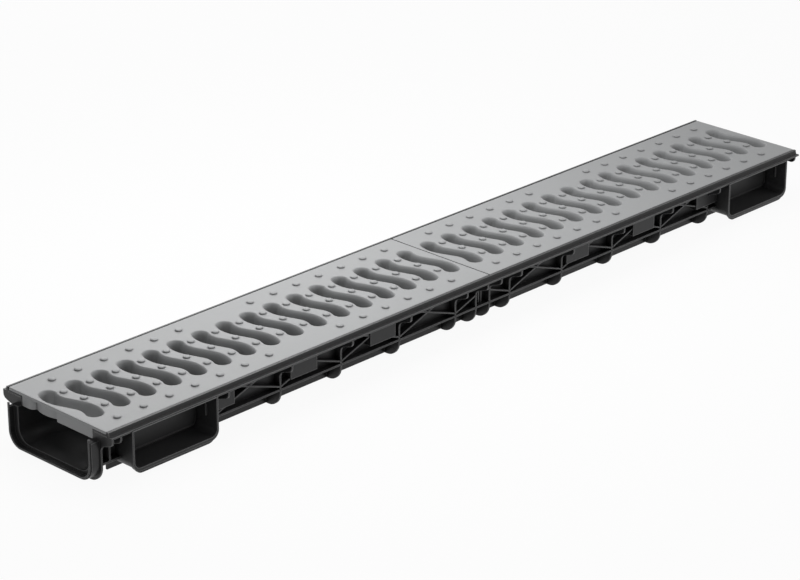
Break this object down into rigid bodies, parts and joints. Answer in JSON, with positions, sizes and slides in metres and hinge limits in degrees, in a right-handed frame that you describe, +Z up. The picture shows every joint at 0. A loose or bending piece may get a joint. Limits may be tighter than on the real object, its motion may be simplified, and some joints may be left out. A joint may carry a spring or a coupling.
{
  "type": "channel drain",
  "caption": "Shallow drainage channel with side ports, a socket end and a ribbed outside, carrying two clip-in gratings with S-shaped slots and round studs",
  "frame": {"origin": "middle of the channel's box, on the surface that its ribs stand on", "axes": "X along the channel from the socket end to the plain end, Y across it, Z up"},
  "size_m": [1.0108, 0.1536, 0.0565],
  "materials": {
    "channel_plastic": "black moulded polypropylene, fine satin",
    "grate_plastic": "grey moulded plastic, matt"
  },
  "bodies": {
    "root": {"channel_body": "channel_plastic", "grate_left": "grate_plastic", "grate_right": "grate_plastic"}
  },
  "joints": []
}
